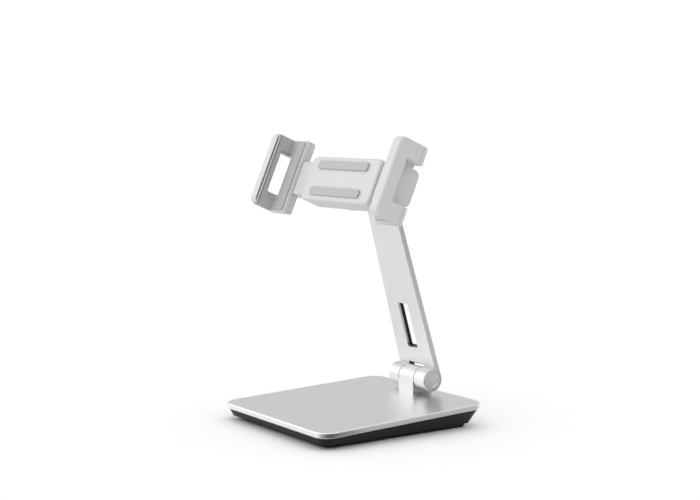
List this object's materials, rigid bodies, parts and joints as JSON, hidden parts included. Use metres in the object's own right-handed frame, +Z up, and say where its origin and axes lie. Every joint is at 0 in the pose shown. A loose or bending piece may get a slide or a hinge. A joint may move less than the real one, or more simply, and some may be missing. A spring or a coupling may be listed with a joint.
{
  "type": "tablet stand",
  "caption": "Desk stand for a tablet: square wedge base, one leaning arm on a friction hinge, and a tilting, turning clamp whose two self-centring jaws grip the tablet's short edges.",
  "frame": {"origin": "centre of the base plate's outline, on the surface that the stand rests on", "axes": "+X to the user's right, +Y to the back, +Z up"},
  "size_m": [0.1846, 0.1586, 0.2365],
  "materials": {
    "silver_aluminium": "fine bead-blasted, silver anodised",
    "black_plastic": "fine matt texture",
    "grey_plastic": "light grey satin, fine texture",
    "grip_rubber": "soft matt silicone",
    "foot_rubber": "matt rubber sheet",
    "steel": "zinc plated",
    "acetal": "black acetal, smooth"
  },
  "bodies": {
    "base": {"base_plate": "silver_aluminium", "base_tray": "black_plastic", "foot_mat": "foot_rubber", "ballast_plate": "steel", "ballast_screws": "steel", "tray_screws": "steel", "hinge_lug": "silver_aluminium", "lug_screws": "steel"},
    "arm": {"arm": "silver_aluminium", "cable_grommet": "black_plastic", "lower_hinge_bolt": "steel", "lower_hinge_nut": "steel", "lower_disc_springs": "steel", "lower_friction_washers": "acetal", "lower_hinge_caps": "silver_aluminium", "upper_hinge_bolt": "steel", "upper_hinge_nut": "steel", "upper_disc_springs": "steel", "upper_friction_washers": "acetal", "upper_hinge_caps": "silver_aluminium"},
    "knuckle": {"tilt_knuckle": "silver_aluminium", "swivel_washer": "acetal", "swivel_wave_washer": "steel", "swivel_retainer": "steel", "swivel_screw": "steel"},
    "clamp": {"clamp_housing": "grey_plastic", "clamp_cover": "grey_plastic", "cover_screws": "steel", "backrest_pads": "grip_rubber", "pinion_axle": "steel", "clamp_springs": "steel"},
    "pinion": {"pinion": "acetal"},
    "jaw_right": {"slide_bar_right": "grey_plastic", "spring_pins_right": "steel", "claw_right": "grey_plastic", "jaw_pad_right": "grip_rubber", "jaw_screws_right": "steel"},
    "jaw_left": {"slide_bar_left": "grey_plastic", "spring_pins_left": "steel", "claw_left": "grey_plastic", "jaw_pad_left": "grip_rubber", "jaw_screws_left": "steel"}
  },
  "joints": [
    {"name": "arm_fold", "type": "hinge", "parent": "base", "child": "arm", "pos_m": [0, 0.0647, 0.03173], "axis": [1, 0, 0], "range_deg": [-46, 28]},
    {"name": "clamp_tilt", "type": "hinge", "parent": "arm", "child": "knuckle", "pos_m": [0, 0.01991, 0.1869], "axis": [1, 0, 0], "range_deg": [-140, 39]},
    {"name": "clamp_swivel", "type": "hinge", "parent": "knuckle", "child": "clamp", "pos_m": [0, 0.01991, 0.1869], "axis": [0, 0.9175, -0.3978], "continuous": true},
    {"name": "jaw_right_slide", "type": "slide", "parent": "clamp", "child": "jaw_right", "axis": [1, 0, 0], "range_m": [-0.016, 0.024], "deforming": ["clamp_springs"]},
    {"name": "jaw_left_slide", "type": "slide", "parent": "clamp", "child": "jaw_left", "axis": [-1, 0, 0], "range_m": [-0.016, 0.024], "deforming": ["clamp_springs"]},
    {"name": "pinion_spin", "type": "hinge", "parent": "clamp", "child": "pinion", "pos_m": [0, 0.01991, 0.1869], "axis": [0, 0.9175, -0.3978], "range_deg": [-132, 197]}
  ],
  "couplings": [
    {"joint": "jaw_left_slide", "follows": "jaw_right_slide", "ratio": 1},
    {"joint": "pinion_spin", "follows": "jaw_right_slide", "rad_per_m": 142.86}
  ]
}
